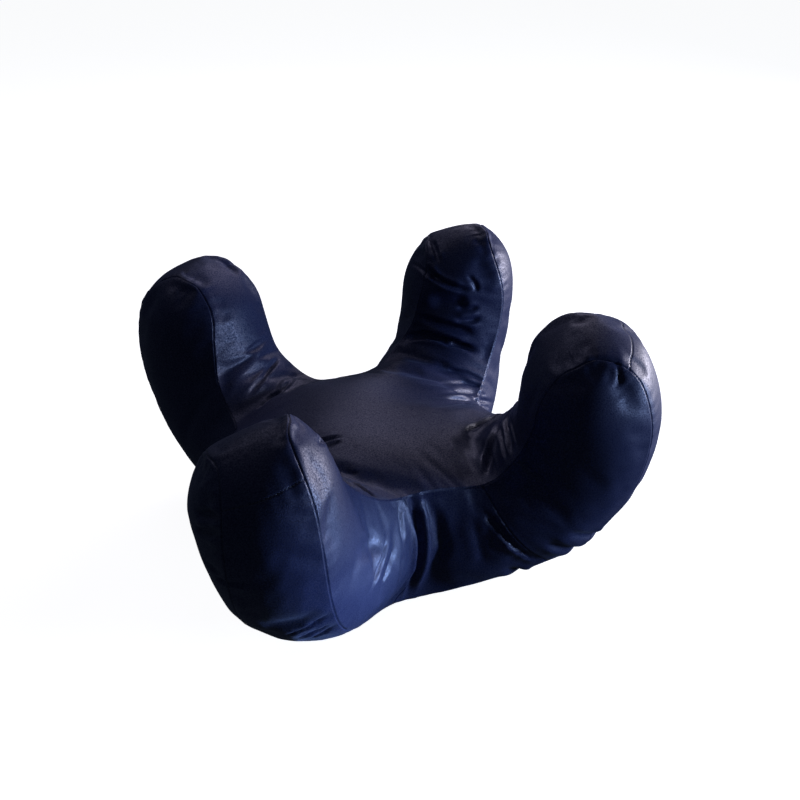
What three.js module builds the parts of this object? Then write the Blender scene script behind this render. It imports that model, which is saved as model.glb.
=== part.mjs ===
// A stuffed four-armed cushion: a low square body whose corners run out into short thick arms that curl up.
// Its cover is a cross-shaped top panel, a cross-shaped bottom panel, two side panels on each arm and a
// boxing panel between each pair of arms, sewn edge to edge. It is one filled solid, in millimetres, +Z up.
import * as THREE from 'three';

// The body: how far out and how high the boxing panels stand, counter-clockwise from the right, then for
// the crown and the base the height of the middle, the share of the way out that stays nearly level, and
// how much of the rim's drop shows there.
const BOXINGS = [
  { heading: 19, top: 98, bottom: 9, seamRadius: 116, bulgeRadius: 115 },
  { heading: 88, top: 100, bottom: 9, seamRadius: 114, bulgeRadius: 113 },
  { heading: 190, top: 112, bottom: 9, seamRadius: 113, bulgeRadius: 111 },
  { heading: 296, top: 103, bottom: 3, seamRadius: 109, bulgeRadius: 108 },
];
const CROWN = { height: 121, level: 0.55, drop: 0.35 };
const BASE = { height: 0, level: 0.78, drop: 0 };
const BASE_PRESS = 2;

// What all arms share: the share of the length over which they curl and twist, where on a section its
// seams lie, and how far the tip stands out.
const CURL_SHARE = 0.95;
const SLANT_FROM = 0.6;
const SEAM_CORNER = { inner: 0.68, outer: 0.55, inward: 0.8 };
const TIP_BULGE = 6;

// Each arm, counter-clockwise from the front right. Angles are in degrees: heading in plan, rise above
// the floor and twist about the arm's own axis at the root and at the tip, and slant of the tip to its
// left. shift moves the arm to its left and sway moves its tip that way. bow is how far forward the left
// seam at the root runs.
const ARMS = {
  frontRight: {
    heading: -19, rootRadius: 140, rootHeight: 58, rootRise: 41, tipRise: 111, length: 164,
    width: 162, depth: 118, shift: 0, sway: -16, rootTwist: 2, tipTwist: 4, slant: 6, bow: 0,
  },
  backRight: {
    heading: 54, rootRadius: 132, rootHeight: 51, rootRise: 28, tipRise: 108, length: 190,
    width: 140, depth: 109, shift: 6, sway: -9, rootTwist: 17, tipTwist: 29, slant: -8, bow: 0,
  },
  backLeft: {
    heading: 136, rootRadius: 114, rootHeight: 55, rootRise: 26, tipRise: 99, length: 179,
    width: 153, depth: 112, shift: -14, sway: -13, rootTwist: 1, tipTwist: 11, slant: -6, bow: 0,
  },
  frontLeft: {
    heading: 246, rootRadius: 107, rootHeight: 60, rootRise: 18, tipRise: 88, length: 209,
    width: 145, depth: 121, shift: 7, sway: -14, rootTwist: -3, tipTwist: 28, slant: 11, bow: -40,
  },
};

// Sections along an arm, as shares of its length, width and depth. side is how much of the width the side
// panels take. The cross seam lies on CROSS_SECTION.
const SECTIONS = [
  { along: 0, width: 1, depth: 0.98, side: 1 },
  { along: 0.2, width: 0.91, depth: 1.01, side: 1 },
  { along: 0.4, width: 0.82, depth: 1.02, side: 1 },
  { along: 0.6, width: 0.82, depth: 1.02, side: 1 },
  { along: 0.78, width: 0.82, depth: 0.91, side: 1 },
  { along: 0.9, width: 0.71, depth: 0.8, side: 1 },
  { along: 1, width: 0.57, depth: 0.26, side: 0.73 },
];
const CROSS_SECTION = 5;

// How deep the stitching draws the cover in along each kind of seam, how wide that groove is to either
// side, and the share of the depth that is left where seams meet.
const SEAM_DEPTH = { panel: 5, cross: 3, root: 4 };
const GROOVE_HALF_WIDTH = 6;
const MEETING_SHARE = 0.3;

// The larger folds, pressed in from one place on an arm to another. A place is the share along the arm,
// negative on the body behind its root, and quarter turns round it to the left from the middle of its
// inner face.
const FOLDS = [
  { arm: 'frontLeft', from: [0.26, 0.4], to: [-0.04, 0.46], width: 11, depth: 7 },
  { arm: 'frontLeft', from: [-0.02, 0.5], to: [-0.02, 1.5], width: 11, depth: 6 },
  { arm: 'frontLeft', from: [0.54, 1.05], to: [0.24, 1.2], width: 12, depth: 3 },
  { arm: 'frontRight', from: [-0.1, -0.6], to: [0.02, -1.5], width: 11, depth: 6 },
  { arm: 'frontRight', from: [-0.12, 0.4], to: [0.04, -0.5], width: 10, depth: 5 },
  { arm: 'frontRight', from: [-0.12, 0.4], to: [0.24, -0.3], width: 11, depth: 3 },
  { arm: 'backRight', from: [0.33, 0.45], to: [0.43, -0.3], width: 11, depth: 5 },
  { arm: 'backRight', from: [0.64, 0.4], to: [0.6, -0.1], width: 10, depth: 3 },
  { arm: 'backRight', from: [0.97, 0.5], to: [0.87, 0], width: 10, depth: 3 },
  { arm: 'backRight', from: [-0.04, -0.2], to: [0.16, -0.85], width: 10, depth: 4 },
  { arm: 'backLeft', from: [0.36, -0.35], to: [0.14, 0.3], width: 11, depth: 5 },
  { arm: 'backLeft', from: [0.16, -0.45], to: [0.05, 0.35], width: 10, depth: 4 },
];
const FOLD_SAMPLES = 16;
const FOLD_FADE = 0.3;
const FOLD_REACH = 40;

const COVER = new THREE.MeshStandardMaterial({ color: 0x10142a, roughness: 0.42, metalness: 0 });

// Places round a section, from its inner right seam, turning to the arm's left.
const INNER_RIGHT = 0;
const INNER = 1;
const INNER_LEFT = 2;
const LEFT = 3;
const OUTER_LEFT = 4;
const OUTER = 5;
const OUTER_RIGHT = 6;
const RIGHT = 7;
const { inner, outer, inward } = SEAM_CORNER;
const RING = [
  [-inner, inward],
  [0, 1],
  [inner, inward],
  [1, 0],
  [outer, -inward],
  [0, -1],
  [-outer, -inward],
  [-1, 0],
];
const SUBDIVISIONS = 2;
const CURVE_STEPS = 60;

const UP = new THREE.Vector3(0, 0, 1);

function ease(x) {
  const t = THREE.MathUtils.clamp(x, 0, 1);
  return t * t * (3 - 2 * t);
}

// Centre of an arm's section and its directions: left across the arm, inward to its upper face, forward
// to its tip.
function armFrame(arm, along) {
  const heading = THREE.MathUtils.degToRad(arm.heading);
  const out = new THREE.Vector3(Math.cos(heading), Math.sin(heading), 0);
  const left = new THREE.Vector3(-Math.sin(heading), Math.cos(heading), 0);
  const riseAt = (share) => {
    const bend = ease(share / CURL_SHARE);
    return THREE.MathUtils.degToRad(arm.rootRise + (arm.tipRise - arm.rootRise) * bend);
  };
  const centre = out.clone().multiplyScalar(arm.rootRadius).addScaledVector(UP, arm.rootHeight);
  const step = along / CURVE_STEPS;
  for (let i = 0; i < CURVE_STEPS; i += 1) {
    const rise = riseAt((i + 0.5) * step);
    centre.addScaledVector(out, Math.cos(rise) * step * arm.length);
    centre.addScaledVector(UP, Math.sin(rise) * step * arm.length);
  }
  const onArm = Math.max(along, 0);
  centre.addScaledVector(left, arm.shift + arm.sway * onArm * onArm);
  const rise = riseAt(along);
  const forward = out.clone().multiplyScalar(Math.cos(rise)).addScaledVector(UP, Math.sin(rise));
  const upper = forward.clone().cross(left);
  const lean = Math.atan((2 * arm.sway * onArm) / arm.length);
  forward.applyAxisAngle(upper, lean);
  left.applyAxisAngle(upper, lean);
  const twist = THREE.MathUtils.lerp(arm.rootTwist, arm.tipTwist, ease(onArm / CURL_SHARE));
  left.applyAxisAngle(forward, THREE.MathUtils.degToRad(twist));
  const face = forward.clone().cross(left);
  const slant = arm.slant * ease((onArm - SLANT_FROM) / (1 - SLANT_FROM));
  left.applyAxisAngle(face, -THREE.MathUtils.degToRad(slant));
  return { centre, left, inward: face, forward };
}

function ringOfPoints(arm, section) {
  const frame = armFrame(arm, section.along);
  return RING.map(([toLeft, toInside], place) => {
    const reach = place === LEFT || place === RIGHT ? section.side : 1;
    const point = frame.centre.clone();
    point.addScaledVector(frame.left, (toLeft * reach * section.width * arm.width) / 2);
    return point.addScaledVector(frame.inward, (toInside * section.depth * arm.depth) / 2);
  });
}

// The cage is points, quads turned outwards, and seams: edges with their kind and the depth they are
// drawn in at either end.
function newCage() {
  const cage = { points: [], quads: [], seams: [] };
  cage.point = (p) => cage.points.push(p) - 1;
  cage.seam = (kind, a, b, depthA, depthB) => cage.seams.push({ kind, a, b, depthA, depthB });
  return cage;
}

// One arm's sleeve of sections, closed at the tip. Returns the points of its root section.
function addArm(cage, arm) {
  const sections = SECTIONS.map((section) => ringOfPoints(arm, section));
  const rootForward = armFrame(arm, 0).forward;
  for (const k of [LEFT, OUTER_LEFT]) sections[0][k].addScaledVector(rootForward, arm.bow);
  const rings = sections.map((section) => section.map(cage.point));
  const count = RING.length;
  const { panel, cross } = SEAM_DEPTH;
  for (let j = 0; j + 1 < rings.length; j += 1) {
    for (let k = 0; k < count; k += 1) {
      const next = (k + 1) % count;
      cage.quads.push([rings[j][next], rings[j][k], rings[j + 1][k], rings[j + 1][next]]);
    }
    for (const k of [INNER_RIGHT, INNER_LEFT, OUTER_LEFT, OUTER_RIGHT]) {
      cage.seam('panel', rings[j][k], rings[j + 1][k], panel, panel);
    }
  }
  const tip = rings.at(-1);
  const { centre, forward } = armFrame(arm, 1);
  const middle = cage.point(centre.addScaledVector(forward, TIP_BULGE));
  cage.quads.push([tip[RIGHT], middle, tip[INNER], tip[INNER_RIGHT]]);
  cage.quads.push([middle, tip[LEFT], tip[INNER_LEFT], tip[INNER]]);
  cage.quads.push([tip[OUTER], tip[OUTER_LEFT], tip[LEFT], middle]);
  cage.quads.push([tip[OUTER_RIGHT], tip[OUTER], middle, tip[RIGHT]]);
  for (const k of [INNER_LEFT, LEFT, OUTER_RIGHT, RIGHT]) {
    cage.seam('panel', tip[k], tip[(k + 1) % count], panel, panel);
  }
  const crossRing = rings[CROSS_SECTION];
  cage.seam('cross', crossRing[OUTER_LEFT], crossRing[OUTER], panel, cross);
  cage.seam('cross', crossRing[OUTER], crossRing[OUTER_RIGHT], cross, panel);
  const root = rings[0];
  for (const k of [LEFT, RIGHT]) {
    cage.seam('root', root[k - 1], root[k], panel, SEAM_DEPTH.root);
    cage.seam('root', root[k], root[(k + 1) % count], SEAM_DEPTH.root, panel);
  }
  return root;
}

// The boxing panel between an arm's left side and the next arm's right side. Returns its upper and lower
// middle.
function addBoxing(cage, form, root, nextRoot) {
  const heading = THREE.MathUtils.degToRad(form.heading);
  const at = (radius, height) =>
    cage.point(new THREE.Vector3(Math.cos(heading) * radius, Math.sin(heading) * radius, height));
  const top = at(form.seamRadius, form.top);
  const middle = at(form.bulgeRadius, (form.top + form.bottom) / 2);
  const bottom = at(form.seamRadius, form.bottom);
  cage.quads.push([root[LEFT], middle, top, root[INNER_LEFT]]);
  cage.quads.push([root[OUTER_LEFT], bottom, middle, root[LEFT]]);
  cage.quads.push([middle, nextRoot[RIGHT], nextRoot[INNER_RIGHT], top]);
  cage.quads.push([bottom, nextRoot[OUTER_RIGHT], nextRoot[RIGHT], middle]);
  const { panel } = SEAM_DEPTH;
  cage.seam('panel', root[INNER_LEFT], top, panel, panel);
  cage.seam('panel', top, nextRoot[INNER_RIGHT], panel, panel);
  cage.seam('panel', root[OUTER_LEFT], bottom, panel, panel);
  cage.seam('panel', bottom, nextRoot[OUTER_RIGHT], panel, panel);
  return { top, bottom };
}

// A crowned panel inside a closed rim: a ring of quads and a fan round its middle.
function addPanel(cage, rim, { height, level, drop }, facingUp) {
  const add = (corners) => cage.quads.push(facingUp ? corners : corners.reverse());
  const inner = rim.map((id) => {
    const p = cage.points[id];
    const z = height + (p.z - height) * drop;
    return cage.point(new THREE.Vector3(p.x * level, p.y * level, z));
  });
  const middle = cage.point(new THREE.Vector3(0, 0, height));
  const count = rim.length;
  for (let k = 0; k < count; k += 1) {
    const next = (k + 1) % count;
    add([inner[k], rim[k], rim[next], inner[next]]);
  }
  for (let k = 1; k < count; k += 2) {
    add([middle, inner[k], inner[(k + 1) % count], inner[(k + 2) % count]]);
  }
}

function buildCage() {
  const cage = newCage();
  const roots = Object.values(ARMS).map((arm) => addArm(cage, arm));
  const topRim = [];
  const bottomRim = [];
  roots.forEach((root, i) => {
    const boxing = addBoxing(cage, BOXINGS[i], root, roots[(i + 1) % roots.length]);
    topRim.push(root[INNER_RIGHT], root[INNER], root[INNER_LEFT], boxing.top);
    bottomRim.push(root[OUTER_RIGHT], root[OUTER], root[OUTER_LEFT], boxing.bottom);
  });
  addPanel(cage, topRim, CROWN, true);
  addPanel(cage, bottomRim, BASE, false);
  return cage;
}

// One Catmull-Clark step. Seams between panels keep their own curve, so the panels meet at an edge.
function subdivide({ points, quads, seams }) {
  const edges = new Map();
  const key = (a, b) => Math.min(a, b) * points.length + Math.max(a, b);
  const mean = (ids) => {
    const sum = new THREE.Vector3();
    ids.forEach((id) => sum.add(points[id]));
    return sum.divideScalar(ids.length);
  };
  const faceMiddles = quads.map(mean);
  quads.forEach((quad, face) => {
    quad.forEach((a, k) => {
      const b = quad[(k + 1) % 4];
      if (!edges.has(key(a, b))) edges.set(key(a, b), { a, b, faces: [], sharp: false });
      edges.get(key(a, b)).faces.push(face);
    });
  });
  seams.forEach((seam) => {
    edges.get(key(seam.a, seam.b)).sharp = seam.kind === 'panel';
  });

  const around = points.map(() => ({
    faces: 0,
    faceSum: new THREE.Vector3(),
    edgeSum: new THREE.Vector3(),
    sharp: [],
  }));
  quads.forEach((quad, face) => {
    quad.forEach((id) => {
      around[id].faces += 1;
      around[id].faceSum.add(faceMiddles[face]);
    });
  });
  const result = points.slice();
  edges.forEach((edge) => {
    const middle = mean([edge.a, edge.b]);
    around[edge.a].edgeSum.add(middle);
    around[edge.b].edgeSum.add(middle);
    if (edge.sharp) {
      around[edge.a].sharp.push(points[edge.b]);
      around[edge.b].sharp.push(points[edge.a]);
    }
    const [one, two] = edge.faces.map((face) => faceMiddles[face]);
    const smooth = middle.clone().multiplyScalar(2).add(one).add(two).divideScalar(4);
    edge.id = result.push(edge.sharp ? middle : smooth) - 1;
  });
  points.forEach((point, id) => {
    const { faces, faceSum, edgeSum, sharp } = around[id];
    if (sharp.length === 2) {
      const [one, two] = sharp;
      result[id] = point.clone().multiplyScalar(0.75).addScaledVector(one, 0.125).addScaledVector(two, 0.125);
    } else if (sharp.length < 2) {
      const moved = faceSum.clone().addScaledVector(edgeSum, 2).divideScalar(faces * faces);
      result[id] = moved.addScaledVector(point, (faces - 3) / faces);
    }
  });

  const finer = { points: result, quads: [], seams: [] };
  quads.forEach((quad, face) => {
    const middle = result.push(faceMiddles[face]) - 1;
    quad.forEach((id, k) => {
      const ahead = edges.get(key(id, quad[(k + 1) % 4])).id;
      const behind = edges.get(key(quad[(k + 3) % 4], id)).id;
      finer.quads.push([id, ahead, middle, behind]);
    });
  });
  seams.forEach(({ kind, a, b, depthA, depthB }) => {
    const id = edges.get(key(a, b)).id;
    const depth = (depthA + depthB) / 2;
    finer.seams.push({ kind, a, b: id, depthA, depthB: depth });
    finer.seams.push({ kind, a: id, b, depthA: depth, depthB });
  });
  return finer;
}

function normals({ points, quads }) {
  const result = points.map(() => new THREE.Vector3());
  quads.forEach(([a, b, c, d]) => {
    const one = points[c].clone().sub(points[a]);
    const two = points[d].clone().sub(points[b]);
    const normal = one.cross(two);
    [a, b, c, d].forEach((id) => result[id].add(normal));
  });
  return result.map((normal) => normal.normalize());
}

// The stitching pulls the cover into the filling along every seam: the rows beside a seam close up to it,
// and the seam itself goes in. At an arm's root, where seams meet, the rows stay as they are and the
// seams go in less.
function drawInSeams({ points, quads, seams }) {
  const outward = normals({ points, quads });
  const sewn = new Map();
  seams.forEach(({ kind, a, b, depthA, depthB }) => {
    for (const [id, depth] of [[a, depthA], [b, depthB]]) {
      if (!sewn.has(id)) sewn.set(id, { depth: 0, meeting: 0 });
      const found = sewn.get(id);
      found.depth = Math.max(depth, found.depth);
      if (kind !== 'cross') found.meeting += 1;
    }
  });
  const beside = points.map(() => new Set());
  quads.forEach((quad) => {
    quad.forEach((id, k) => {
      const next = quad[(k + 1) % 4];
      if (sewn.has(id) && !sewn.has(next)) beside[next].add(id);
      if (sewn.has(next) && !sewn.has(id)) beside[id].add(next);
    });
  });
  beside.forEach((found, id) => {
    const [seam] = found;
    if (found.size !== 1 || sewn.get(seam).meeting > 2) return;
    points[id] = points[id].clone().sub(points[seam]).clampLength(0, GROOVE_HALF_WIDTH).add(points[seam]);
  });
  sewn.forEach(({ depth, meeting }, id) => {
    points[id].addScaledVector(outward[id], -depth * (meeting > 2 ? MEETING_SHARE : 1));
  });
}

// Places along a fold, on the arm's surface.
function foldPath({ arm, from, to }) {
  const places = [];
  for (let i = 0; i <= FOLD_SAMPLES; i += 1) {
    const share = i / FOLD_SAMPLES;
    const along = THREE.MathUtils.lerp(from[0], to[0], share);
    const turn = (THREE.MathUtils.lerp(from[1], to[1], share) * Math.PI) / 2;
    const { centre, left, inward } = armFrame(ARMS[arm], along);
    centre.addScaledVector(left, (Math.sin(turn) * ARMS[arm].width) / 2);
    centre.addScaledVector(inward, (Math.cos(turn) * ARMS[arm].depth) / 2);
    const fade = ease(Math.min(share, 1 - share) / FOLD_FADE);
    places.push({ at: centre, fade });
  }
  return places;
}

// Presses each fold into the cover as a trough, measured along the surface.
function pressFolds(mesh) {
  const outward = normals(mesh);
  const depths = mesh.points.map(() => 0);
  FOLDS.forEach((fold) => {
    const path = foldPath(fold);
    mesh.points.forEach((point, id) => {
      let deepest = 0;
      path.forEach(({ at, fade }) => {
        const offset = point.clone().sub(at);
        const height = offset.dot(outward[id]);
        if (Math.abs(height) > FOLD_REACH) return;
        const away = offset.addScaledVector(outward[id], -height).length() / fold.width;
        deepest = Math.max(deepest, fold.depth * fade * Math.exp(-away * away));
      });
      depths[id] = Math.max(depths[id], deepest);
    });
  });
  mesh.points.forEach((point, id) => point.addScaledVector(outward[id], -depths[id]));
}

// The cushion lies on its base, which is pressed flat, and its origin is the middle of its box on the
// floor.
function restOnFloor(mesh) {
  mesh.points.forEach((point) => {
    point.z = Math.max(point.z, BASE_PRESS);
  });
  const box = new THREE.Box3().setFromPoints(mesh.points);
  const middle = box.getCenter(new THREE.Vector3());
  mesh.points.forEach((point) => point.sub(new THREE.Vector3(middle.x, middle.y, box.min.z)));
}

function toGeometry({ points, quads }) {
  const geometry = new THREE.BufferGeometry().setFromPoints(points);
  geometry.setIndex(quads.flatMap(([a, b, c, d]) => [a, b, c, a, c, d]));
  geometry.computeVertexNormals();
  return geometry;
}

function makeCushion() {
  let mesh = buildCage();
  for (let i = 0; i < SUBDIVISIONS; i += 1) mesh = subdivide(mesh);
  drawInSeams(mesh);
  pressFolds(mesh);
  restOnFloor(mesh);
  const cushion = new THREE.Mesh(toGeometry(mesh), COVER);
  cushion.name = 'cushion';
  return cushion;
}

const part = new THREE.Group();
part.add(makeCushion());
export default part;
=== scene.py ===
"""A stuffed four-armed cushion in dark satin, dressed over its solid: the sewn cover with its seams, puckers
and folds, the stitches of the cross seams, a pale floor, soft studio lights and the photograph's camera."""
import math

import bpy
import numpy as np
from mathutils import Matrix, Vector
from mathutils.bvhtree import BVHTree
from mathutils.kdtree import KDTree


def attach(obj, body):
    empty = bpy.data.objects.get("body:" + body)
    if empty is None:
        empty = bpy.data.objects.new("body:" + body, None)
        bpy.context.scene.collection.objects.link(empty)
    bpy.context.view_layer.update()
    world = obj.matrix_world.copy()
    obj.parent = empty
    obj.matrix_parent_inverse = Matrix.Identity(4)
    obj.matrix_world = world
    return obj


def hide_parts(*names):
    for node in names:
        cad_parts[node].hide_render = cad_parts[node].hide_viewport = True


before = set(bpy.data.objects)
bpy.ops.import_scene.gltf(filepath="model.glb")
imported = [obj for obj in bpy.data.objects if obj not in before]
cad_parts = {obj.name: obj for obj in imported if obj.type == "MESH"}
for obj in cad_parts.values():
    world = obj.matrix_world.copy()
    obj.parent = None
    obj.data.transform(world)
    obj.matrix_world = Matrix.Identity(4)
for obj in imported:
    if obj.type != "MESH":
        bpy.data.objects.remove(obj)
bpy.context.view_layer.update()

# Sizes are in millimetres, as in the solid, and the meshes are made in metres.
MM = 0.001
# The shapes are made round the body's axis, which stands here in the frame.
BODY_AXIS = np.array([-27.6, 15.2, -2.0])
# Boxing panels, counter-clockwise from the right: heading in degrees, heights of the top and bottom seam,
# radius at the seams and radius between them.
BOXINGS = [
    (19, 98, 9, 116, 115),
    (88, 100, 9, 114, 113),
    (190, 112, 9, 113, 111),
    (296, 103, 3, 109, 108),
]
# The body's two panels: height of the middle, where the ring inside the rim lies as a share of the rim's
# distance, and how much of the rim's rise or fall it takes.
CROWN = dict(height=121, level=0.55, drop=0.35)
BASE = dict(height=0, level=0.78, drop=0.0)
# The base is pressed flat at this height.
BASE_PRESS = 2
# An arm curls and twists up to the first share of its length, and its sections slant from the second on.
CURL_SHARE = 0.95
SLANT_FROM = 0.6
# Where the seams lie in a section, as shares of its half-width and half-depth.
SEAM_CORNER = dict(inner=0.68, outer=0.55, inward=0.8)
TIP_BULGE = 6
# Arms, counter-clockwise from the front right. Headings, rises, twists and slants are in degrees. The shift
# and the sway at the tip are to the arm's left, and bow moves the left root seam along the arm.
ARMS = {
    "front_right": dict(
        heading=-19, root_radius=140, root_height=58, root_rise=41, tip_rise=111, length=164,
        width=162, depth=118, shift=0, sway=-16, root_twist=2, tip_twist=4, slant=6, bow=0,
    ),
    "back_right": dict(
        heading=54, root_radius=132, root_height=51, root_rise=28, tip_rise=108, length=190,
        width=140, depth=109, shift=6, sway=-9, root_twist=17, tip_twist=29, slant=-8, bow=0,
    ),
    "back_left": dict(
        heading=136, root_radius=114, root_height=55, root_rise=26, tip_rise=99, length=179,
        width=153, depth=112, shift=-14, sway=-13, root_twist=1, tip_twist=11, slant=-6, bow=0,
    ),
    "front_left": dict(
        heading=246, root_radius=107, root_height=60, root_rise=18, tip_rise=88, length=209,
        width=145, depth=121, shift=7, sway=-14, root_twist=-3, tip_twist=28, slant=11, bow=-40,
    ),
}
# Sections: place along the arm, shares of its width and depth, and how far out the side panels reach.
SECTIONS = [
    (0.0, 1.0, 0.98, 1.0),
    (0.2, 0.91, 1.01, 1.0),
    (0.4, 0.82, 1.02, 1.0),
    (0.6, 0.82, 1.02, 1.0),
    (0.78, 0.82, 0.91, 1.0),
    (0.9, 0.71, 0.8, 1.0),
    (1.0, 0.57, 0.26, 0.73),
]
# The cross seam lies on this section.
CROSS_SECTION = 5

# Places round a section, from its inner right seam, turning to the arm's left.
INNER_RIGHT, INNER, INNER_LEFT, LEFT, OUTER_LEFT, OUTER, OUTER_RIGHT, RIGHT = range(8)
IN, OUT, INWARD = SEAM_CORNER["inner"], SEAM_CORNER["outer"], SEAM_CORNER["inward"]
RING = [
    (-IN, INWARD), (0, 1), (IN, INWARD), (1, 0),
    (OUT, -INWARD), (0, -1), (-OUT, -INWARD), (-1, 0),
]
# Steps in which an arm's centre line is followed.
CURVE_STEPS = 60
UP = np.array([0.0, 0.0, 1.0])
# Stands in for a length of zero where one is divided by.
NO_LENGTH = 1e-9


def ease(x):
    """A smooth step from 0 to 1."""
    t = np.clip(x, 0, 1)
    return t * t * (3 - 2 * t)


def turned(vector, axis, angle):
    return np.array(Matrix.Rotation(angle, 3, Vector(axis)) @ Vector(vector))


def arm_frame(arm, along):
    """Centre of an arm's section and its directions: left, inward to its upper face, forward to its tip."""
    heading = math.radians(arm["heading"])
    out = np.array([math.cos(heading), math.sin(heading), 0])
    left = np.array([-math.sin(heading), math.cos(heading), 0])

    def rise_at(share):
        bend = ease(share / CURL_SHARE)
        return math.radians(arm["root_rise"] + (arm["tip_rise"] - arm["root_rise"]) * bend)

    centre = out * arm["root_radius"] + UP * arm["root_height"]
    step = along / CURVE_STEPS
    for i in range(CURVE_STEPS):
        rise = rise_at((i + 0.5) * step)
        centre = centre + (out * math.cos(rise) + UP * math.sin(rise)) * step * arm["length"]
    on_arm = max(along, 0)
    centre = centre + left * (arm["shift"] + arm["sway"] * on_arm * on_arm)
    rise = rise_at(along)
    forward = out * math.cos(rise) + UP * math.sin(rise)
    upper = np.cross(forward, left)
    lean = math.atan(2 * arm["sway"] * on_arm / arm["length"])
    forward = turned(forward, upper, lean)
    left = turned(left, upper, lean)
    twist = arm["root_twist"] + (arm["tip_twist"] - arm["root_twist"]) * ease(on_arm / CURL_SHARE)
    left = turned(left, forward, math.radians(twist))
    face = np.cross(forward, left)
    slant = arm["slant"] * ease((on_arm - SLANT_FROM) / (1 - SLANT_FROM))
    left = turned(left, face, -math.radians(slant))
    return centre, left, face, forward


def ring_of_points(arm, section):
    """The eight points of one section of an arm."""
    along, width, depth, side = section
    centre, left, inward, _ = arm_frame(arm, along)
    points = []
    for place, (to_left, to_inside) in enumerate(RING):
        reach = side if place in (LEFT, RIGHT) else 1
        across = left * to_left * reach * width * arm["width"] / 2
        points.append(centre + across + inward * to_inside * depth * arm["depth"] / 2)
    return points


class Cage:
    """Points, quads turned outwards with the panel each belongs to, and seam lines as runs of points."""

    def __init__(self):
        self.points, self.quads, self.panels, self.lines = [], [], [], []

    def point(self, p):
        self.points.append(np.asarray(p, float))
        return len(self.points) - 1

    def quad(self, corners, panel):
        self.quads.append(tuple(corners))
        self.panels.append(panel)

    def line(self, kind, ids):
        self.lines.append((kind, list(ids)))


# The kinds of panel.
TOP, BOTTOM, SIDE, BOX = range(4)


def add_arm(cage, arm):
    """One arm's sleeve of sections, closed at the tip. Returns the points of its root section."""
    sections = [ring_of_points(arm, section) for section in SECTIONS]
    root_forward = arm_frame(arm, 0)[3]
    for k in (LEFT, OUTER_LEFT):
        sections[0][k] = sections[0][k] + root_forward * arm["bow"]
    rings = [[cage.point(p) for p in section] for section in sections]
    count = len(RING)
    panel_at = [TOP, TOP, SIDE, SIDE, BOTTOM, BOTTOM, SIDE, SIDE]
    for j in range(len(rings) - 1):
        for k in range(count):
            n = (k + 1) % count
            cage.quad((rings[j][n], rings[j][k], rings[j + 1][k], rings[j + 1][n]), panel_at[k])
    tip = rings[-1]
    centre, _, _, forward = arm_frame(arm, 1)
    middle = cage.point(centre + forward * TIP_BULGE)
    cage.quad((tip[RIGHT], middle, tip[INNER], tip[INNER_RIGHT]), TOP)
    cage.quad((middle, tip[LEFT], tip[INNER_LEFT], tip[INNER]), TOP)
    cage.quad((tip[OUTER], tip[OUTER_LEFT], tip[LEFT], middle), TOP)
    cage.quad((tip[OUTER_RIGHT], tip[OUTER], middle, tip[RIGHT]), TOP)
    for inner, side, outer in ((INNER_LEFT, LEFT, OUTER_LEFT), (INNER_RIGHT, RIGHT, OUTER_RIGHT)):
        up = [ring[inner] for ring in rings]
        down = [ring[outer] for ring in reversed(rings)]
        cage.line("arch", up + [tip[side]] + down)
        cage.line("root", [rings[0][inner], rings[0][side], rings[0][outer]])
    cross = rings[CROSS_SECTION]
    cage.line("cross", [cross[OUTER_LEFT], cross[OUTER], cross[OUTER_RIGHT]])
    return rings[0]


def add_boxing(cage, form, root, next_root):
    """The boxing panel between an arm's left side and the next arm's right side."""
    degrees, top_height, bottom_height, seam_radius, bulge_radius = form
    heading = math.radians(degrees)

    def at(radius, height):
        return cage.point((math.cos(heading) * radius, math.sin(heading) * radius, height))

    top = at(seam_radius, top_height)
    middle = at(bulge_radius, (top_height + bottom_height) / 2)
    bottom = at(seam_radius, bottom_height)
    cage.quad((root[LEFT], middle, top, root[INNER_LEFT]), BOX)
    cage.quad((root[OUTER_LEFT], bottom, middle, root[LEFT]), BOX)
    cage.quad((middle, next_root[RIGHT], next_root[INNER_RIGHT], top), BOX)
    cage.quad((bottom, next_root[OUTER_RIGHT], next_root[RIGHT], middle), BOX)
    cage.line("edge", [root[INNER_LEFT], top, next_root[INNER_RIGHT]])
    cage.line("edge", [root[OUTER_LEFT], bottom, next_root[OUTER_RIGHT]])
    return top, bottom


def add_panel(cage, rim, form, panel):
    """A crowned panel inside a closed rim: a ring of quads and a fan round its middle."""
    facing_up = panel == TOP
    inner = []
    for i in rim:
        x, y, z = cage.points[i]
        height = form["height"] + (z - form["height"]) * form["drop"]
        inner.append(cage.point((x * form["level"], y * form["level"], height)))
    middle = cage.point((0, 0, form["height"]))
    count = len(rim)
    found = []
    for k in range(count):
        n = (k + 1) % count
        found.append((inner[k], rim[k], rim[n], inner[n]))
    for k in range(1, count, 2):
        found.append((middle, inner[k], inner[(k + 1) % count], inner[(k + 2) % count]))
    for corners in found:
        cage.quad(corners if facing_up else corners[::-1], panel)


def build_cage():
    """The whole cover as a coarse cage: points, quads, their panels, and the seam lines."""
    cage = Cage()
    roots = [add_arm(cage, arm) for arm in ARMS.values()]
    top_rim, bottom_rim = [], []
    for i, root in enumerate(roots):
        top, bottom = add_boxing(cage, BOXINGS[i], root, roots[(i + 1) % len(roots)])
        top_rim += [root[INNER_RIGHT], root[INNER], root[INNER_LEFT], top]
        bottom_rim += [root[OUTER_RIGHT], root[OUTER], root[OUTER_LEFT], bottom]
    add_panel(cage, top_rim, CROWN, TOP)
    add_panel(cage, bottom_rim, BASE, BOTTOM)
    return np.array(cage.points), np.array(cage.quads), np.array(cage.panels), cage.lines


# Kinds of seam that stay sharp. The root and cross seams lie in a smooth surface.
SHARP = ("arch", "edge")
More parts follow.
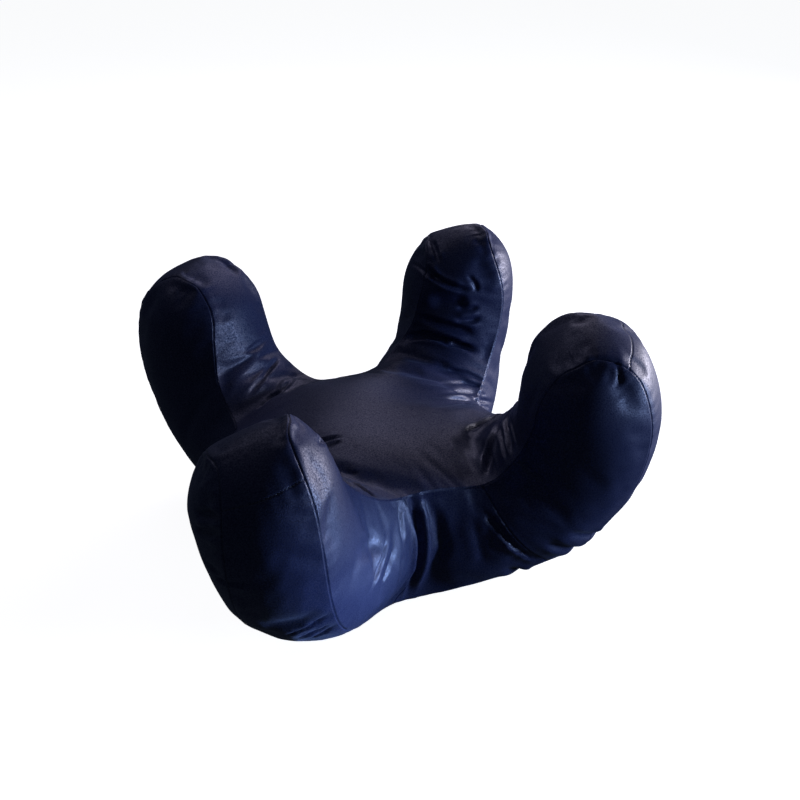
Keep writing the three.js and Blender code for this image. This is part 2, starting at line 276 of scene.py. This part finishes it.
# Weights of a point on a sharp seam and of its neighbours along the seam.
SHARP_OWN, SHARP_NEXT = 0.75, 0.125


def subdivide(points, quads, panels, lines):
    """One Catmull-Clark step. Sharp seams keep their own curve, so the panels meet at an edge."""
    count = len(points)
    ends = np.stack([quads, np.roll(quads, -1, axis=1)], axis=2).reshape(-1, 2)
    ends.sort(axis=1)
    edges, edge_of = np.unique(ends, axis=0, return_inverse=True)
    edge_of = edge_of.reshape(-1, 4)
    number = {(a, b): i for i, (a, b) in enumerate(edges.tolist())}
    face_middle = points[quads].mean(axis=1)
    middle = points[edges].mean(axis=1)
    beside = np.zeros((len(edges), 3))
    np.add.at(beside, edge_of.ravel(), np.repeat(face_middle, 4, axis=0))
    edge_point = (2 * middle + beside) / 4
    sharp = np.zeros(len(edges), bool)
    finer_lines = []
    for kind, ids in lines:
        run = [ids[0]]
        for a, b in zip(ids, ids[1:]):
            e = number[(min(a, b), max(a, b))]
            sharp[e] |= kind in SHARP
            run += [count + e, b]
        finer_lines.append((kind, run))
    edge_point[sharp] = middle[sharp]

    faces = np.zeros(count)
    face_sum = np.zeros((count, 3))
    edge_sum = np.zeros((count, 3))
    sharp_sum = np.zeros((count, 3))
    sharp_count = np.zeros(count)
    np.add.at(faces, quads.ravel(), 1)
    np.add.at(face_sum, quads.ravel(), np.repeat(face_middle, 4, axis=0))
    for k in range(2):
        np.add.at(edge_sum, edges[:, k], middle)
        np.add.at(sharp_sum, edges[sharp, k], points[edges[sharp, 1 - k]])
        np.add.at(sharp_count, edges[sharp, k], 1)
    n = faces[:, None]
    moved = (face_sum + 2 * edge_sum) / n ** 2 + points * (n - 3) / n
    on_seam = sharp_count == 2
    moved[on_seam] = SHARP_OWN * points[on_seam] + SHARP_NEXT * sharp_sum[on_seam]
    corner = sharp_count > 2
    moved[corner] = points[corner]

    finer_points = np.vstack([moved, edge_point, face_middle])
    face_at = count + len(edges) + np.arange(len(quads))
    finer = [
        np.stack([quads[:, k], count + edge_of[:, k], face_at, count + edge_of[:, k - 1]], axis=1)
        for k in range(4)
    ]
    return finer_points, np.vstack(finer), np.tile(panels, 4), finer_lines


def normals_of(points, quads):
    """The outward direction at each point."""
    one = points[quads[:, 2]] - points[quads[:, 0]]
    two = points[quads[:, 3]] - points[quads[:, 1]]
    face = np.cross(one, two)
    total = np.zeros_like(points)
    for k in range(4):
        np.add.at(total, quads[:, k], face)
    return total / np.linalg.norm(total, axis=1, keepdims=True)


def mesh_object(name, points, faces):
    """A smooth mesh object, linked to the scene, from points in millimetres."""
    mesh = bpy.data.meshes.new(name)
    mesh.from_pydata((points * MM).tolist(), [], faces)
    mesh.shade_smooth()
    mesh.update()
    piece = bpy.data.objects.new(name, mesh)
    bpy.context.scene.collection.objects.link(piece)
    return piece


# How often the cage is split before the filling blows it up, and in all.
SIM_LEVEL = 3
FINE_LEVEL = 5
# The cover as cloth: steps a frame, pressure of the filling, spare cloth, stiffness, mass and damping.
CLOTH = dict(
    steps=6, pressure=3.0, growth=0.02, tension=20, compression=10, shear=6, bending=0.4, mass=0.25,
    damping=6,
)
CLOTH_FRAMES = 24
# The farthest that the filling may move the cover.
CLOTH_CAP = 9.0


def puffed(points, quads, lines):
    """The cover blown up by its filling as cloth, with its seams held, as moved points."""
    piece = mesh_object("puff", points, quads.tolist())
    sewn = sorted({i for kind, ids in lines if kind != "cross" for i in ids})
    held = piece.vertex_groups.new(name="sewn")
    held.add([int(i) for i in sewn], 1.0, "REPLACE")
    cloth = piece.modifiers.new("cloth", "CLOTH")
    form = cloth.settings
    form.quality = CLOTH["steps"]
    form.mass = CLOTH["mass"]
    form.tension_stiffness = CLOTH["tension"]
    form.compression_stiffness = CLOTH["compression"]
    form.shear_stiffness = CLOTH["shear"]
    form.bending_stiffness = CLOTH["bending"]
    form.tension_damping = form.compression_damping = form.shear_damping = CLOTH["damping"]
    form.use_pressure = True
    form.uniform_pressure_force = CLOTH["pressure"]
    form.shrink_min = form.shrink_max = -CLOTH["growth"]
    form.vertex_group_mass = "sewn"
    form.effector_weights.gravity = 0
    cloth.collision_settings.use_collision = False
    scene = bpy.context.scene
    cloth.point_cache.frame_start = 1
    cloth.point_cache.frame_end = CLOTH_FRAMES
    for number in range(1, CLOTH_FRAMES + 1):
        scene.frame_set(number)
    shape = piece.evaluated_get(bpy.context.evaluated_depsgraph_get())
    mesh = shape.to_mesh()
    co = np.zeros(len(mesh.vertices) * 3, np.float32)
    mesh.vertices.foreach_get("co", co)
    shape.to_mesh_clear()
    bpy.data.objects.remove(piece)
    scene.frame_set(1)
    move = co.reshape(-1, 3).astype(float) / MM - points
    far = np.linalg.norm(move, axis=1, keepdims=True)
    return points + move * np.minimum(1, CLOTH_CAP / np.maximum(far, NO_LENGTH))


# Soft swells of the crown in plan: middle, heading of the long axis, half-lengths along it and across it,
# and rise.
SWELLS = [
    ((30, -5), 0, 60, 50, -6),
    ((83, 67), -9, 34, 26, 10),
    ((45, 95), -9, 26, 22, 8),
]
# They move what lies above this height, in full where the outward direction rises by at least this slope.
SWELL_ABOVE = 60
SWELL_SLOPE = 0.5


def swell_crown(points, quads):
    """Raises and lowers the crown by its soft swells."""
    facing = normals_of(points, quads)[:, 2]
    upward = np.clip(facing / SWELL_SLOPE, 0, 1) * (points[:, 2] > SWELL_ABOVE)
    for middle, heading, along, across, rise in SWELLS:
        turn = math.radians(heading)
        x, y = points[:, 0] - middle[0], points[:, 1] - middle[1]
        u = (x * math.cos(turn) + y * math.sin(turn)) / along
        v = (y * math.cos(turn) - x * math.sin(turn)) / across
        points = points + np.outer(rise * upward * np.exp(-u ** 2 - v ** 2), UP)
    return points


# The main view: angles in degrees, sizes in millimetres, and the focal length in pixels of its frame.
CAMERA = dict(
    azimuth=-8.95, elevation=27.55, roll=-1.45, distance=1075, focal=1302, across=33.4, up=38.0, height=90
)
FRAME_PIXELS = 800


def view_frame():
    """The main view's eye, from the body's axis, and its directions to the right, upwards and backwards."""
    a, e, r = (math.radians(CAMERA[k]) for k in ("azimuth", "elevation", "roll"))
    back = np.array([math.sin(a) * math.cos(e), -math.cos(a) * math.cos(e), math.sin(e)])
    right = np.array([math.cos(a), math.sin(a), 0])
    up = np.cross(back, right)
    right, up = right * math.cos(r) + up * math.sin(r), up * math.cos(r) - right * math.sin(r)
    eye = right * CAMERA["across"] + up * CAMERA["up"] + UP * CAMERA["height"] + back * CAMERA["distance"]
    return eye, right, up, back


# Folds of the cover: the arm, places on it, half-width of the trough and depth. A place is a share of the
# arm's length and the quarter turns round it, from its inner face to its left.
FOLDS = [
    ("front_left", [(0.44, 2.06), (0.46, 1.87), (0.48, 1.68)], 1.8, 1.4),
    ("front_left", [(0.4, 2.0), (0.43, 1.68)], 1.8, 1.4),
    ("front_left", [(0.36, 1.97), (0.4, 1.66)], 1.8, 1.2),
    ("front_left", [(0.67, -1.5), (0.68, -1.86)], 1.8, 1.3),
    ("front_left", [(0.86, -1.2), (0.88, -1.65)], 3, 2),
    ("front_left", [(0.8, -1.22), (0.84, -1.66)], 3, 2.2),
    ("front_left", [(0.7, -1.2), (0.7, -1.6)], 2.6, 1.4),
    ("front_right", [(-0.06, -0.54), (-0.05, -0.8), (-0.06, -1.15), (-0.06, -1.54)], 2.6, 3.2),
    ("front_right", [(0.33, -0.4), (0.32, -0.55), (0.32, -0.76)], 2, 1.1),
    ("front_right", [(0.95, -1.58), (0.86, -1.44)], 2, 1.2),
    ("front_right", [(-0.11, -0.56), (-0.17, -0.79), (-0.25, -0.97)], 4, 1.3),
    ("front_right", [(-0.19, -1.15), (-0.19, -1.85)], 4, 3.5),
    ("front_right", [(0.07, -1.15), (0.08, -1.85)], 4, 3.2),
    ("front_right", [(0.17, -1.25), (0.18, -1.85)], 4, 2.4),
    ("back_right", [(0.97, 0.52), (0.92, 0.28)], 2.5, 2),
    ("back_right", [(0.9, 1.02), (0.94, 0.6), (0.91, 0.28)], 1.8, 1.6),
    ("back_right", [(0.56, 0.85), (0.55, 0.45)], 1.8, 1.4),
    ("back_left", [(0.99, -0.75), (0.98, -0.25)], 5, 2),
]
# Folds that the main view shows: places in its frame from the top left, half-width and depth.
SEEN_FOLDS = [
    # The dimple of the front-left side panel at its root.
    ([(356, 553), (370, 546), (380, 537)], 6, 2.2),
    # The front-left root: the deep one beside its seam, the slit at the crown, and the small ones.
    ([(407, 486), (417, 520), (420, 550), (414, 580), (402, 602)], 4, 6),
    ([(349, 479), (363, 489), (377, 498)], 2.6, 3.6),
    ([(316, 442), (328, 439), (342, 435)], 2.6, 2.4),
    ([(324, 448), (333, 444), (343, 440)], 1.8, 1.5),
    ([(340, 470), (350, 473), (360, 473)], 1.8, 0.9),
    ([(388, 534), (382, 560), (370, 592)], 2.2, 2.2),
    ([(394, 545), (389, 565), (379, 588)], 2, 1.8),
    ([(403, 550), (400, 575), (393, 592)], 2.2, 1.9),
    ([(398, 503), (401, 525), (404, 547)], 2.5, 1.6),
    # The fan of folds where the front-right arm meets the crown.
    ([(509, 410), (492, 418), (478, 425), (464, 435)], 2.6, 3),
    ([(505, 413), (494, 434), (490, 450), (488, 465), (487, 480)], 3.3, 5),
    ([(501, 425), (503, 444), (507, 460)], 1.8, 1.9),
    ([(510, 413), (508, 432), (514, 455)], 2.4, 2.6),
    ([(526, 435), (542, 440)], 2, 1),
    # The long folds across the back-right arm's root.
    ([(510, 412), (490, 402), (465, 399), (432, 396)], 2.2, 2.2),
    ([(500, 408), (483, 406), (460, 403)], 1.8, 1.2),
    ([(491, 397), (470, 393), (440, 392)], 2.6, 1.2),
    ([(491, 392), (474, 385), (455, 383), (428, 385)], 2, 1.3),
    ([(489, 385), (470, 375), (455, 371), (438, 369)], 2.2, 1.6),
    # The same arm's inner face: two deep folds, the pocket under the flap, and the flap's edge.
    ([(401, 341), (420, 336), (440, 339), (460, 345), (479, 353)], 3, 4),
    ([(416, 316), (440, 324), (460, 329), (477, 335)], 3.6, 3.6),
    ([(426, 300), (450, 303), (470, 300)], 8, 4),
    ([(413, 255), (436, 278), (455, 287), (474, 292)], 2.6, 3),
    ([(475, 293), (475, 284), (465, 274)], 2.2, 1.6),
    ([(456, 308), (468, 309), (480, 307)], 2.4, 2),
    ([(453, 320), (468, 321), (482, 317)], 2.6, 2.2),
    ([(426, 233), (434, 247), (438, 264)], 2.4, 2),
    # The back-left arm's root.
    ([(287, 346), (268, 371), (246, 398)], 2.2, 2),
    ([(306, 363), (286, 386), (270, 399), (248, 416)], 2.4, 2.6),
    ([(272, 335), (247, 355)], 3, 1),
]
FOLD_SAMPLES = 60
# A fold fades out over this share of its length at each end.
FOLD_FADE = 0.3
# It presses points up to so many half-widths beside it, and within this height over or under it.
FOLD_SIDES = 4
FOLD_REACH = 14
# The cover keeps its finest faces where a fold moves it by more than the first number and is narrower than
# the second.
FOLD_SHOWS = 0.55
FINE_FOLD = 5
# A fold's lips: how high they stand beside the trough, how far out and how wide, in half-widths.
LIP = dict(height=0.35, out=1.7, width=0.8)


def smooth_run(places):
    """Even steps along a smooth line by the places."""
    knots = np.linspace(0, 1, len(places))
    shares = np.linspace(0, 1, FOLD_SAMPLES)
    degree = min(len(places) - 1, 3)
    curves = [np.polyfit(knots, column, degree) for column in zip(*places)]
    return np.stack([np.polyval(curve, shares) for curve in curves], axis=1)


def fold_path(arm, places, tree):
    """Places along a fold, sent out from the arm's middle to the cover."""
    path = []
    for where, quarter in smooth_run(places):
        centre, left, inward, _ = arm_frame(arm, where)
        angle = quarter * math.pi / 2
        outward = left * math.sin(angle) * arm["width"] + inward * math.cos(angle) * arm["depth"]
        path.append(tree.ray_cast(Vector(centre), Vector(outward).normalized())[0])
    return np.array(path)


def seen_path(places, tree):
    """Places along a fold, sent from the main view's eye to the cover."""
    eye, right, up, back = view_frame()
    path = []
    for x, y in smooth_run(places):
        way = right * (x - FRAME_PIXELS / 2) - up * (y - FRAME_PIXELS / 2) - back * CAMERA["focal"]
        hit = tree.ray_cast(Vector(eye), Vector(way).normalized())[0]
        if hit is not None:
            path.append(hit)
    return np.array(path)


def press_folds(points, quads):
    """Presses every fold into the cover. Also marks the points that a narrow fold moves."""
    outward = normals_of(points, quads)
    tree = BVHTree.FromPolygons(points.tolist(), quads.tolist())
    runs = []
    for name, places, width, depth in FOLDS:
        runs.append((fold_path(ARMS[name], places, tree), width, depth))
    for places, width, depth in SEEN_FOLDS:
        runs.append((seen_path(places, tree), width, depth))
    height = np.zeros(len(points))
    busy = np.zeros(len(points), bool)
    for path, width, depth in runs:
        shares = np.linspace(0, 1, len(path))
        fade = ease(np.minimum(shares, 1 - shares) / FOLD_FADE)
        middle = path.mean(axis=0)
        reach = np.linalg.norm(path - middle, axis=1).max() + FOLD_SIDES * width + FOLD_REACH
        near = np.flatnonzero(np.linalg.norm(points - middle, axis=1) < reach)
        offset = points[near, None] - path[None]
        rise = np.einsum("ijk,ik->ij", offset, outward[near])
        away = np.linalg.norm(offset - rise[..., None] * outward[near, None], axis=2) / width
        away = np.where(np.abs(rise) < FOLD_REACH, away, np.inf)
        best = away.argmin(axis=1)
        x = away[np.arange(len(near)), best]
        trough = np.exp(-x ** 2)
        lip = LIP["height"] * np.exp(-((x - LIP["out"]) / LIP["width"]) ** 2)
        press = depth * fade[best] * (lip - trough)
        height[near] += press
        if width < FINE_FOLD:
            busy[near] |= np.abs(press) > FOLD_SHOWS
    return points + outward * height[:, None], busy


# Each kind of seam: how far the stitching draws it in, then the height and pitch of the puckers beside it.
SEAMS = {
    "arch": dict(depth=1.3, pucker=0.25, pitch=9.5),
    "edge": dict(depth=1.3, pucker=0.3, pitch=11),
    "root": dict(depth=1.6, pucker=0.4, pitch=10),
    "cross": dict(depth=0.7, pucker=0.1, pitch=9),
}
# The rows of points beside a seam close up to these distances.
SEAM_ROWS = (0.7, 1.0)
# Puckers are highest at the first distance from the seam and end at the second number times it.
PUCKER_REACH = 5.0
PUCKER_END = 6
# Turns of the puckers' waves, in radians, from panel to panel and from seam to seam.
PUCKER_TURN = dict(panel=1.7, seam=2.3)
# How the waves drift along a seam, and how their strength comes and goes along it, in lengths of the seam.
PUCKER_DRIFT = dict(swing=1.6, length=19)
PUCKER_STRENGTH = dict(middle=0.55, swing=0.45, length=31, turn=2.1)


def lengths_along(run):
    """Length along a run of points up to each of them."""
    return np.concatenate([[0], np.linalg.norm(np.diff(run, axis=0), axis=1).cumsum()])


def edges_of(quads):
    """Every edge once, as two point numbers."""
    ends = np.stack([quads, np.roll(quads, -1, axis=1)], axis=2).reshape(-1, 2)
    return np.unique(np.sort(ends, axis=1), axis=0)


def close_seams(points, quads, lines):
    """Draws the rows beside each seam up to it and the seam itself into the filling, as a narrow groove."""
    edges = edges_of(quads)
    outward = normals_of(points, quads)
    depth = np.zeros(len(points))
    for kind, ids in lines:
        depth[ids] = np.maximum(depth[ids], SEAMS[kind]["depth"])
    moved = points.copy()
    done = depth > 0
    for gap in SEAM_ROWS:
        total = np.zeros_like(points)
        count = np.zeros(len(points))
        for one, two in (edges.T, edges.T[::-1]):
            pick = done[one] & ~done[two]
            held, free = one[pick], two[pick]
            away = points[free] - moved[held]
            far = np.linalg.norm(away, axis=1, keepdims=True)
            np.add.at(total, free, moved[held] + away * np.minimum(1, gap / far))
            np.add.at(count, free, 1)
        row = count == 1
        moved[row] = total[row]
        done |= count > 0
    return moved - outward * depth[:, None]


def pucker_height(far, place, form, turn):
    """Height of the gathers at a distance from a seam and a place along it."""
    drift = PUCKER_DRIFT["swing"] * math.sin(place / PUCKER_DRIFT["length"] + turn)
    wave = math.sin(2 * math.pi * place / form["pitch"] + drift + turn)
    coming = math.sin(place / PUCKER_STRENGTH["length"] + PUCKER_STRENGTH["turn"] * turn)
    strength = PUCKER_STRENGTH["middle"] + PUCKER_STRENGTH["swing"] * coming
    away = far / PUCKER_REACH
    return form["pucker"] * strength * wave * away * math.exp(1 - away)


def pucker(points, quads, panels, lines):
    """Small gathers across each seam, fading out away from it, with the two panels out of step."""
    outward = normals_of(points, quads)
    panel = np.zeros(len(points))
    panel[quads.ravel()] = np.repeat(panels, 4)
    runs = []
    for number, (kind, ids) in enumerate(lines):
        place = lengths_along(points[ids])
        runs += [(i, place[k], kind, number) for k, i in enumerate(ids)]
    tree = KDTree(len(runs))
    for k, (i, *_) in enumerate(runs):
        tree.insert(points[i], k)
    tree.balance()
    height = np.zeros(len(points))
    for i, point in enumerate(points):
        _, k, far = tree.find(point)
        if far > PUCKER_END * PUCKER_REACH:
            continue
        _, place, kind, number = runs[k]
        turn = PUCKER_TURN["panel"] * panel[i] + PUCKER_TURN["seam"] * number
        height[i] = pucker_height(far, place, SEAMS[kind], turn)
    return points + outward * height[:, None]


def thinned(points, quads, busy):
    """Fine quads where the cover is busy, and elsewhere the coarser quads they were split from."""
    blocks = quads.reshape(4, -1, 4)
    corner, edge = blocks[:, :, 0], blocks[:, :, 1]
    fine = busy[blocks].any(axis=(0, 2))
    split = np.zeros(len(points), bool)
    split[edge[:, fine]] = True
    faces = blocks[:, fine].reshape(-1, 4).tolist()
    for f in np.flatnonzero(~fine):
        ring = []
        for k in range(4):
            ring.append(corner[k, f])
            if split[edge[k, f]]:
                ring.append(edge[k, f])
        faces.append(ring)
    used = np.unique(np.concatenate([np.array(ring) for ring in faces]))
    place = np.zeros(len(points), int)
    place[used] = np.arange(len(used))
    return points[used], [place[ring].tolist() for ring in faces]


# Stitches of the cross seams: pitch, length and radius of a stitch, and how far it stands off the seam.
STITCH = dict(pitch=2.6, length=1.7, radius=0.32, rise=0.31)
# The rings of a stitch: share of its length and of its radius.
STITCH_RINGS = [(0, 0.45), (0.15, 0.9), (0.5, 1.0), (0.85, 0.9), (1, 0.45)]
STITCH_SIDES = 6


def value_at(place, values, where):
    """What a run of values comes to at a length along it."""
    return np.array([np.interp(where, place, column) for column in values.T])


def add_stitch(found, faces, start, end, up):
    """One stitch: a short rounded rod from start to end, closed at both ends."""
    way = end - start
    across = np.cross(way / np.linalg.norm(way), up)
    first = len(found)
    for share, size in STITCH_RINGS:
        for k in range(STITCH_SIDES):
            angle = 2 * math.pi * k / STITCH_SIDES
            spoke = across * math.cos(angle) + up * math.sin(angle)
            found.append(start + way * share + spoke * size * STITCH["radius"])
    last = first + (len(STITCH_RINGS) - 1) * STITCH_SIDES
    for base in range(first, last, STITCH_SIDES):
        for k in range(STITCH_SIDES):
            n = (k + 1) % STITCH_SIDES
            faces.append((base + n, base + k, base + STITCH_SIDES + k, base + STITCH_SIDES + n))
    faces.append(tuple(first + k for k in range(STITCH_SIDES)))
    faces.append(tuple(last + k for k in reversed(range(STITCH_SIDES))))


def add_stitches(points, quads, lines):
    """All stitches as one piece: a row along each cross seam."""
    outward = normals_of(points, quads)
    found, faces = [], []
    for kind, ids in lines:
        if kind != "cross":
            continue
        run = points[ids] + outward[ids] * STITCH["rise"]
        place = lengths_along(run)
        for where in np.arange(STITCH["pitch"], place[-1] - STITCH["pitch"], STITCH["pitch"]):
            start = value_at(place, run, where)
            end = value_at(place, run, where + STITCH["length"])
            add_stitch(found, faces, start, end, value_at(place, outward[ids], where))
    return mesh_object("seam_stitches", np.array(found) + BODY_AXIS, faces)


points, quads, panels, lines = build_cage()
for level in range(FINE_LEVEL):
    if level == SIM_LEVEL:
        points = puffed(points, quads, lines)
    points, quads, panels, lines = subdivide(points, quads, panels, lines)
points = swell_crown(points, quads)
points, busy = press_folds(points, quads)
points = pucker(points, quads, panels, lines)
points = close_seams(points, quads, lines)
points[:, 2] = np.maximum(points[:, 2], BASE_PRESS)
for _, ids in lines:
    busy[ids] = True
cover_points, cover_faces = thinned(points, quads, busy)
cover = mesh_object("cushion_cover", cover_points + BODY_AXIS, cover_faces)
stitches = add_stitches(points, quads, lines)


def set_inputs(node, values):
    for name, value in values.items():
        node.inputs[name].default_value = value


def new_material(name, values):
    """A material whose shader has these values on its own sockets, and its node tree and shader."""
    material = bpy.data.materials.new(name)
    material.use_nodes = True
    shader = material.node_tree.nodes["Principled BSDF"]
    set_inputs(shader, values)
    return material, material.node_tree, shader


SATIN = {
    "Base Color": (0.012, 0.016, 0.055, 1),
    "Specular Tint": (0.7, 0.73, 1.0, 1),
    "Sheen Weight": 0.06,
    "Sheen Roughness": 0.35,
    "Sheen Tint": (0.5, 0.6, 1.0, 1),
}
# The weave's fine grain: a noise, the span of it that counts, and what it does to the gloss over that span.
GRAIN = {"Scale": 950, "Detail": 2}
GRAIN_SPAN = {"From Min": 0.3, "From Max": 0.7}
GRAIN_GLOSS = {
    "Roughness": {"To Min": 0.56, "To Max": 0.44},
    "Specular IOR Level": {"To Min": 0.1, "To Max": 0.9},
}
GRAIN_BUMP = {"Strength": 0.3, "Distance": 0.0003}
THREAD = {"Base Color": (0.05, 0.055, 0.09, 1), "Roughness": 0.5}


def satin():
    material, tree, shader = new_material("navy_satin", SATIN)
    place = tree.nodes.new("ShaderNodeTexCoord")
    grain = tree.nodes.new("ShaderNodeTexNoise")
    set_inputs(grain, GRAIN)
    tree.links.new(place.outputs["Object"], grain.inputs["Vector"])
    for socket, span in GRAIN_GLOSS.items():
        spread = tree.nodes.new("ShaderNodeMapRange")
        set_inputs(spread, GRAIN_SPAN)
        set_inputs(spread, span)
        tree.links.new(grain.outputs["Fac"], spread.inputs["Value"])
        tree.links.new(spread.outputs["Result"], shader.inputs[socket])
    bump = tree.nodes.new("ShaderNodeBump")
    set_inputs(bump, GRAIN_BUMP)
    tree.links.new(grain.outputs["Fac"], bump.inputs["Height"])
    tree.links.new(bump.outputs["Normal"], shader.inputs["Normal"])
    return material


cover.data.materials.append(satin())
stitches.data.materials.append(new_material("seam_thread", THREAD)[0])
for piece in (cover, stitches):
    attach(piece, "root")
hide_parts("cushion")

# Width of the camera's sensor, in millimetres.
SENSOR = 36


def add_camera():
    eye, right, up, back = view_frame()
    data = bpy.data.cameras.new("camera")
    data.sensor_width = SENSOR
    data.lens = SENSOR * CAMERA["focal"] / FRAME_PIXELS
    camera = bpy.data.objects.new("camera", data)
    place = np.eye(4)
    place[:3] = np.stack([right, up, back, (eye + BODY_AXIS) * MM], axis=1)
    camera.matrix_world = Matrix(place.tolist())
    bpy.context.scene.collection.objects.link(camera)
    bpy.context.scene.camera = camera


# The floor: half its side, in metres, and its pale, faintly glowing face.
FLOOR_HALF = 40
FLOOR = {
    "Base Color": (0.9, 0.9, 0.9, 1),
    "Roughness": 0.9,
    "Emission Color": (1, 1, 1, 1),
    "Emission Strength": 0.92,
}


def add_floor():
    mesh = bpy.data.meshes.new("floor")
    corners = [(x * FLOOR_HALF, y * FLOOR_HALF, 0) for x, y in ((-1, -1), (1, -1), (1, 1), (-1, 1))]
    mesh.from_pydata(corners, [], [(0, 1, 2, 3)])
    floor = bpy.data.objects.new("floor", mesh)
    bpy.context.scene.collection.objects.link(floor)
    mesh.materials.append(new_material("pale_floor", FLOOR)[0])
    floor.visible_glossy = False
    floor.visible_diffuse = False


# Soft lights: azimuth from +X and elevation in degrees, size in metres, power and colour. Each stands at
# LIGHT_DISTANCE from the cushion's middle.
LIGHT_DISTANCE = 1.4
LIGHT_TARGET = Vector((0, 0, 0.1))
LIGHTS = {
    "window": (17, 5, (0.5, 0.28), 17, (1.0, 0.95, 1.0)),
    "side": (-15, 4, (0.5, 0.28), 18, (0.5, 0.68, 1.0)),
    "back": (65, 30, (0.7, 0.6), 2.6, (0.84, 0.78, 1.0)),
    "top": (120, 55, (1.0, 0.8), 1.4, (0.84, 0.8, 1.0)),
}
# A narrow spot for the sheen low on the front-left arm, in metres and degrees.
SPOT = dict(
    azimuth=-12, elevation=0.5, aim=(-0.075, -0.21, 0.035), distance=1.3, radius=0.1, opening=8, blend=1.0,
    power=440, colour=(0.45, 0.66, 1.0),
)


def place_light(data, azimuth, elevation, target, distance):
    """Stands a light off its target at these angles, facing it."""
    a, e = math.radians(azimuth), math.radians(elevation)
    way = Vector((math.cos(e) * math.cos(a), math.cos(e) * math.sin(a), math.sin(e)))
    light = bpy.data.objects.new(data.name, data)
    light.location = Vector(target) + way * distance
    light.rotation_euler = (-way).to_track_quat("-Z", "Y").to_euler()
    bpy.context.scene.collection.objects.link(light)


def add_lights():
    for name, (azimuth, elevation, size, power, colour) in LIGHTS.items():
        data = bpy.data.lights.new(name, "AREA")
        data.shape = "RECTANGLE"
        data.size, data.size_y = size
        data.energy = power
        data.color = colour
        place_light(data, azimuth, elevation, LIGHT_TARGET, LIGHT_DISTANCE)


def add_spot():
    data = bpy.data.lights.new("sheen", "SPOT")
    data.energy = SPOT["power"]
    data.color = SPOT["colour"]
    data.shadow_soft_size = SPOT["radius"]
    data.spot_size = math.radians(SPOT["opening"])
    data.spot_blend = SPOT["blend"]
    place_light(data, SPOT["azimuth"], SPOT["elevation"], SPOT["aim"], SPOT["distance"])


WORLD = {"Color": (0.6, 0.75, 1, 1), "Strength": 0.045}


def add_world():
    world = bpy.data.worlds.new("studio")
    world.use_nodes = True
    set_inputs(world.node_tree.nodes["Background"], WORLD)
    bpy.context.scene.world = world


add_camera()
add_floor()
add_lights()
add_spot()
add_world()
bpy.context.scene.view_settings.view_transform = "Standard"
